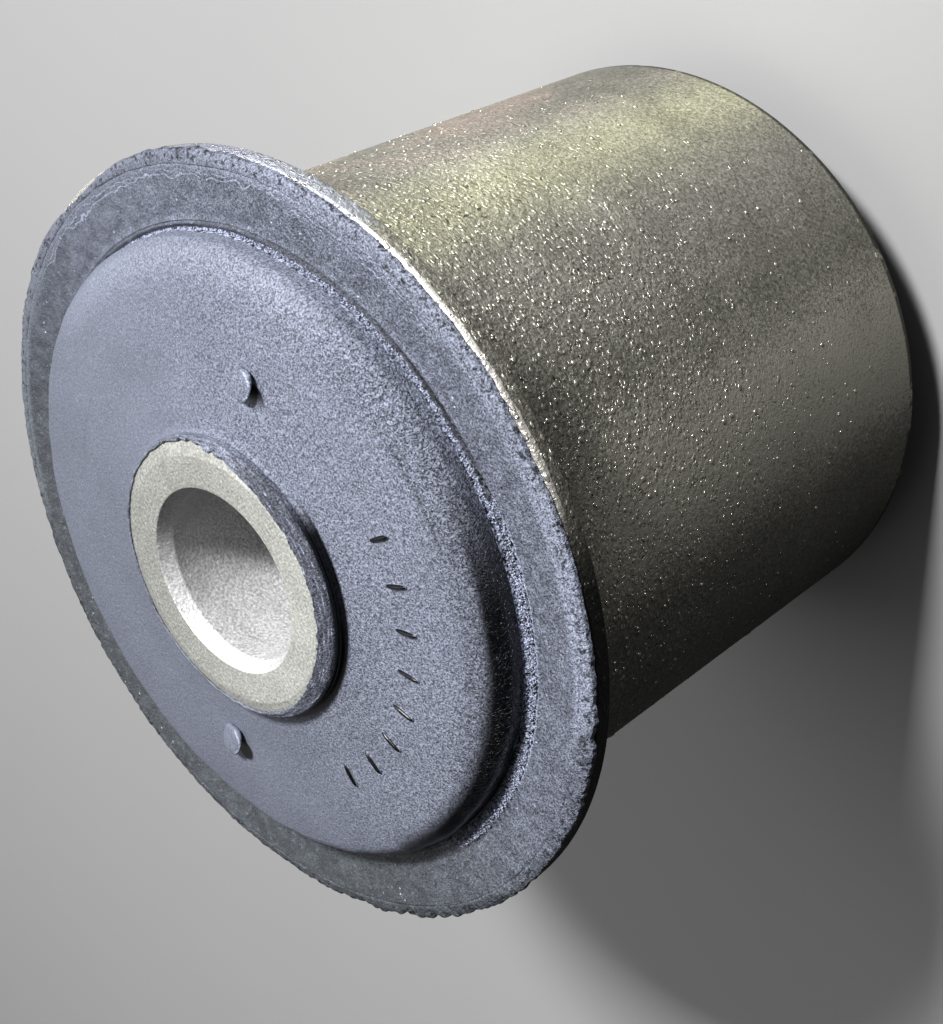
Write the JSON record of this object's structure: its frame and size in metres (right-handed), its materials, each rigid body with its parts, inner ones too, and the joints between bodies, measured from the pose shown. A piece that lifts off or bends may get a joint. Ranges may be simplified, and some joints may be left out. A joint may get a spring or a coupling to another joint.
{
  "type": "rubber metal bush",
  "caption": "Flanged rubber metal bush: a steel tube bonded in rubber inside a flanged steel shell, with a raised rubber thrust face over the flange.",
  "frame": {"origin": "centre of the tube's back end face, on the axis, where the bush stands", "axes": "+Z along the bore axis, from the tube's back end towards the flange; any direction across it is X"},
  "size_m": [0.056, 0.056, 0.054],
  "materials": {
    "shell_steel": "phosphated, grainy, satin",
    "rubber": "moulded, satin, with a pale bloom",
    "tube_steel": "turned end, phosphated, matte"
  },
  "bodies": {
    "root": {"outer_sleeve": "shell_steel", "rubber_body": "rubber", "inner_sleeve": "tube_steel"}
  },
  "joints": []
}
